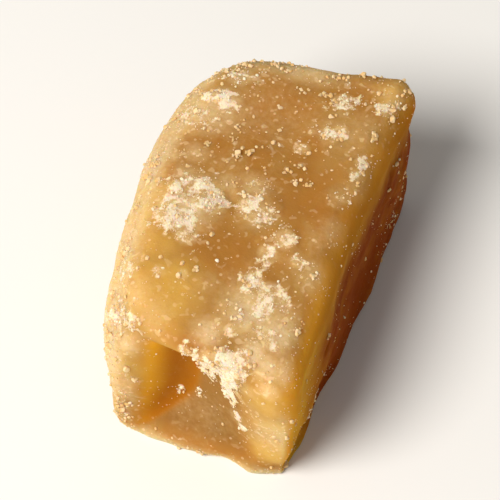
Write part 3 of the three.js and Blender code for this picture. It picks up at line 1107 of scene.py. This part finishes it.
class JAGGERY_OT_strays(bpy.types.Operator):
    """Strews single grains all over the skin, most of them along the edges"""

    bl_idname = "jaggery.strays"
    bl_label = "Single grains"

    def execute(self, context):
        scene = context.scene
        tints = scene.jaggery_tints
        rng = np.random.default_rng(STRAY_SEED)
        casting = current_casting(scene)

        def chance(cube, box, sunk):
            crowd = smooth(-0.1, 0.7, cloud(box, 5.5))
            leftmost = smooth(0.2, 0.9, -cube[:, 0])
            edge = edge_nearness(cube) * (0.15 + 0.2 * leftmost)
            far = 0.1 * smooth(-6, 10, box[:, 1]) * smooth(0.8, 1.0, cube[:, 2])
            share = 0.02 + 0.2 * crowd + 0.12 * casting.haze(box) + edge + far
            share = share * (1 - 0.35 * leftmost)
            right = smooth(0.8, 1.0, cube[:, 0])
            return share * (1 - 0.9 * smooth(0.6, 2.5, sunk)) * (1 - 0.92 * right)

        def crumb_chance(cube, box, sunk):
            return chance(cube, box, sunk) * smooth(0.0, 0.6, cloud(box + 80, 2.6))

        grains = scene.jaggery_grains
        single, facing = settle(casting, rng, grains.strays, chance)
        crumb, crumb_facing = settle(
            casting, rng, grains.crumbs, crumb_chance, CRUMB_GRAINS, CRUMB_SPREAD
        )
        point = np.concatenate((single, crumb))
        normal = np.concatenate((facing, crumb_facing))
        least = np.repeat((STRAY_RADIUS, CRUMB_RADIUS), (len(single), len(crumb)))
        radius = least * (1 + STRAY_GROWTH * rng.uniform(size=len(point)) ** 2)
        lift = rng.uniform(-0.4, 0.3, len(point))
        shapes = [lump_shape(rng, 0.22) for _ in range(3)]
        shapes += [crystal_shape(rng, corner) for corner in (0.3, 0.45)]
        vertices, faces = strewn(shapes, point, normal, radius, lift, rng)
        material = grain_material("stray_sugar", tints.crystal, tints.grain)
        mesh_piece("stray_grains", vertices, faces, material)
        return {"FINISHED"}


class JAGGERY_OT_clumps(bpy.types.Operator):
    """Heaps grains and powder on the crusts of bloom"""

    bl_idname = "jaggery.clumps"
    bl_label = "Crusts of bloom"

    def execute(self, context):
        scene = context.scene
        tints = scene.jaggery_tints
        grains = scene.jaggery_grains
        casting = current_casting(scene)
        rng = np.random.default_rng(BLOOM_SEED)

        def clump_chance(cube, box, sunk):
            return 0.18 * casting.lace(box, sunk)

        def powder_chance(cube, box, sunk):
            return 0.25 * casting.lace(box, sunk) + 0.025 * casting.haze(box)

        material = grain_material("bloom_sugar", tints.bloom, tints.crystal)
        point, normal = settle(casting, rng, grains.clumps, clump_chance)
        radius = CLUMP_RADIUS + CLUMP_GROWTH * rng.uniform(size=len(point)) ** 3
        lift = rng.uniform(-0.3, 0.5, len(point))
        shapes = [lump_shape(rng, 0.2) for _ in range(3)]
        vertices, faces = strewn(shapes, point, normal, radius, lift, rng)
        mesh_piece("bloom_clumps", vertices, faces, material)

        def octahedron(bm):
            bmesh.ops.create_uvsphere(bm, u_segments=4, v_segments=2, radius=1.0)

        point, normal = settle(casting, rng, grains.powder, powder_chance)
        radius = POWDER_RADIUS + POWDER_GROWTH * rng.uniform(size=len(point))
        flake = [shape_arrays(octahedron)]
        vertices, faces = strewn(flake, point, normal, radius, POWDER_LIFT, rng)
        mesh_piece("bloom_powder", vertices, faces, material, smooth_shaded=True)
        return {"FINISHED"}


class JAGGERY_OT_stage(bpy.types.Operator):
    """Sets the pale floor, the soft light and the camera"""

    bl_idname = "jaggery.stage"
    bl_label = "Stage"

    def execute(self, context):
        scene = context.scene
        stage = scene.jaggery_stage
        middle = Vector((0, 0, stage.aim))
        bm = bmesh.new()
        bmesh.ops.create_grid(bm, x_segments=1, y_segments=1, size=FLOOR_HALF)
        mesh = bpy.data.meshes.new("floor")
        bm.to_mesh(mesh)
        bm.free()
        floor = placed("floor", mesh)
        make = Maker("floor_paper")
        grain = make.noise(3, 3, 0.5)
        paper = {"Base Color": stage.floor, "Roughness": 0.85 + 0.05 * grain}
        mesh.materials.append(make.surface({}, paper))

        azimuth, elevation = math.radians(stage.azimuth), math.radians(stage.elevation)
        sine, cosine, level = math.sin(azimuth), math.cos(azimuth), math.cos(elevation)
        look = Vector((-sine * level, cosine * level, -math.sin(elevation)))
        right = Vector((cosine, sine, 0))
        camera = placed("camera", bpy.data.cameras.new("camera"))
        camera.location = middle - look * stage.distance
        camera.rotation_euler = look.to_track_quat("-Z", "Y").to_euler()
        camera.data.sensor_width = SENSOR
        camera.data.lens = SENSOR * stage.distance / stage.view
        camera.data.clip_start = 0.01
        scene.camera = camera

        towards = Vector((look.x, look.y, 0)).normalized()
        turn = math.radians(stage.key_turn)
        side = (-right * math.cos(turn) - towards * math.sin(turn)).normalized()
        self.key_lamp(scene, middle, side)
        world = bpy.data.worlds.new("soft_room")
        scene.world = world
        world.use_nodes = True
        background = world.node_tree.nodes["Background"]
        background.inputs["Color"].default_value = ROOM_COLOUR
        background.inputs["Strength"].default_value = stage.fill
        scene.view_settings.view_transform = "Standard"
        return {"FINISHED"}

    def key_lamp(self, scene, middle, side):
        """The main light: a soft round lamp that faces the block."""
        stage = scene.jaggery_stage
        data = bpy.data.lights.new("key", "AREA")
        data.shape = "DISK"
        data.size = stage.key_size
        data.energy = stage.key
        data.color = LAMP_COLOUR
        lamp = placed("key", data)
        rise = math.radians(stage.key_rise)
        out = side * math.cos(rise) + Vector((0, 0, 1)) * math.sin(rise)
        lamp.location = middle + out * stage.key_away
        lamp.rotation_euler = (-out).to_track_quat("-Z", "Y").to_euler()


class JAGGERY_PT_sidebar(bpy.types.Panel):
    """Lists the pieces in the sidebar"""

    bl_idname = "JAGGERY_PT_sidebar"
    bl_label = "Jaggery Block"
    bl_space_type = "VIEW_3D"
    bl_region_type = "UI"
    bl_category = "Jaggery"

    def draw(self, context):
        for operator in OPERATORS:
            self.layout.operator(operator.bl_idname)
        for group in GROUPS:
            settings = getattr(context.scene, group)
            box = self.layout.box()
            for key in settings.__annotations__:
                box.prop(settings, key)


GROUPS = {
    "jaggery_form": JaggeryForm,
    "jaggery_tints": JaggeryTints,
    "jaggery_grains": JaggeryGrains,
    "jaggery_stage": JaggeryStage,
}
OPERATORS = (
    JAGGERY_OT_block,
    JAGGERY_OT_lumps,
    JAGGERY_OT_strays,
    JAGGERY_OT_clumps,
    JAGGERY_OT_stage,
)


def register():
    """Adds the settings, the operators and the panel."""
    for name, group in GROUPS.items():
        bpy.utils.register_class(group)
        setattr(bpy.types.Scene, name, bpy.props.PointerProperty(type=group))
    for operator in OPERATORS:
        bpy.utils.register_class(operator)
    bpy.utils.register_class(JAGGERY_PT_sidebar)


def unregister():
    """Takes them away again."""
    bpy.utils.unregister_class(JAGGERY_PT_sidebar)
    for operator in reversed(OPERATORS):
        bpy.utils.unregister_class(operator)
    for name, group in GROUPS.items():
        delattr(bpy.types.Scene, name)
        bpy.utils.unregister_class(group)


def main():
    """Builds the pieces in order."""
    register()
    bpy.ops.jaggery.block()
    bpy.ops.jaggery.lumps()
    bpy.ops.jaggery.strays()
    bpy.ops.jaggery.clumps()
    bpy.ops.jaggery.stage()


if __name__ == "__main__":
    main()
